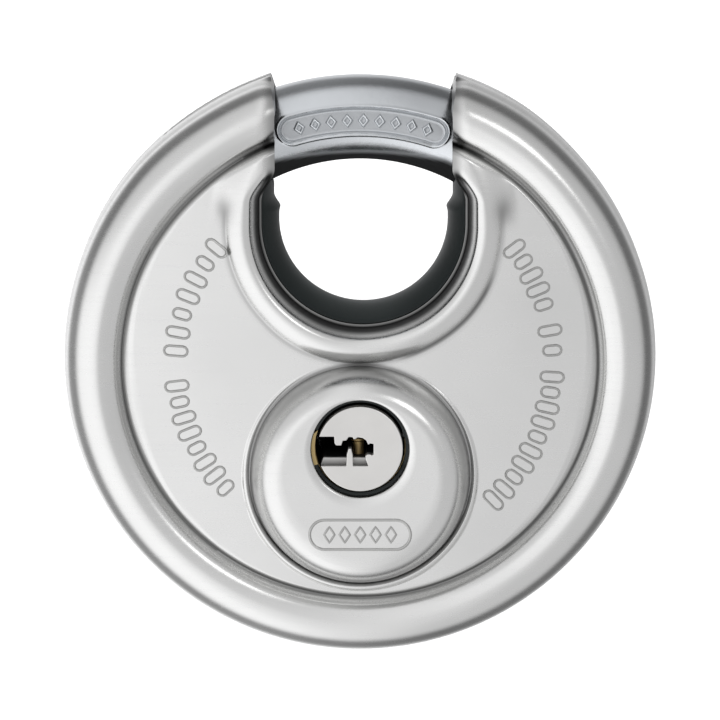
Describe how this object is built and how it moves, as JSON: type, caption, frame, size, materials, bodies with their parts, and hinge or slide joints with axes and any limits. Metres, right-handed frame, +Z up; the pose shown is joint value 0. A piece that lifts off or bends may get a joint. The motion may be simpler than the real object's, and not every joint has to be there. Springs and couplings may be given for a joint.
{
  "type": "disc padlock",
  "caption": "Round disc padlock: welded stainless half cases, a round shackle that swings inside the disc, and a keyed plug that drives it through internal gearing.",
  "frame": {"origin": "the point where a staple touches the underside of the closed shackle, midway between the two faces", "axes": "+Z up, from the disc's middle towards the shackle; +Y out of the rear face; -Y out of the keyhole face; +X to the right as seen from the keyhole face"},
  "size_m": [0.07, 0.0274, 0.0684],
  "materials": {
    "stainless": "satin pressed stainless steel",
    "zinc_plated_steel": "zinc plated",
    "blackened_steel": "blackened, matt",
    "spring_steel": "drawn wire",
    "die_cast_zinc": "as cast",
    "brass": "machined",
    "nickel_plated_brass": "satin nickel plate",
    "black_plastic": "moulded, soft sheen"
  },
  "bodies": {
    "case": {"front_shell": "stainless", "rear_shell": "stainless", "throat_liner": "black_plastic", "core_front": "die_cast_zinc", "core_rear": "die_cast_zinc", "core_screw_1": "zinc_plated_steel", "core_screw_2": "zinc_plated_steel", "core_screw_3": "zinc_plated_steel", "core_screw_4": "zinc_plated_steel", "cylinder_housing": "brass", "housing_pin": "zinc_plated_steel", "drill_plate": "blackened_steel", "spring_cover": "brass", "driver_pin_1": "brass", "driver_pin_2": "brass", "driver_pin_3": "brass", "driver_pin_4": "brass", "driver_pin_5": "brass", "pin_spring_1": "spring_steel", "pin_spring_2": "spring_steel", "pin_spring_3": "spring_steel", "pin_spring_4": "spring_steel", "pin_spring_5": "spring_steel", "closed_stop_pin": "zinc_plated_steel", "open_stop_pin": "zinc_plated_steel"},
    "shackle": {"shackle": "zinc_plated_steel", "shackle_rack": "zinc_plated_steel", "rack_rivet_1": "zinc_plated_steel", "rack_rivet_2": "zinc_plated_steel"},
    "plug": {"plug": "nickel_plated_brass", "key_pin_1": "brass", "key_pin_2": "brass", "key_pin_3": "brass", "key_pin_4": "brass", "key_pin_5": "brass", "driver_sector": "zinc_plated_steel", "tail_clip": "spring_steel"}
  },
  "joints": [
    {"name": "shackle_swing", "type": "hinge", "parent": "case", "child": "shackle", "pos_m": [0, 0, -0.0233], "axis": [0, 1, 0], "range_deg": [0, 70]},
    {"name": "key_turn", "type": "hinge", "parent": "case", "child": "plug", "pos_m": [0, 0, -0.0326], "axis": [0, 1, 0], "range_deg": [0, 122.6]}
  ],
  "couplings": [
    {"joint": "key_turn", "follows": "shackle_swing", "ratio": 1.75}
  ]
}
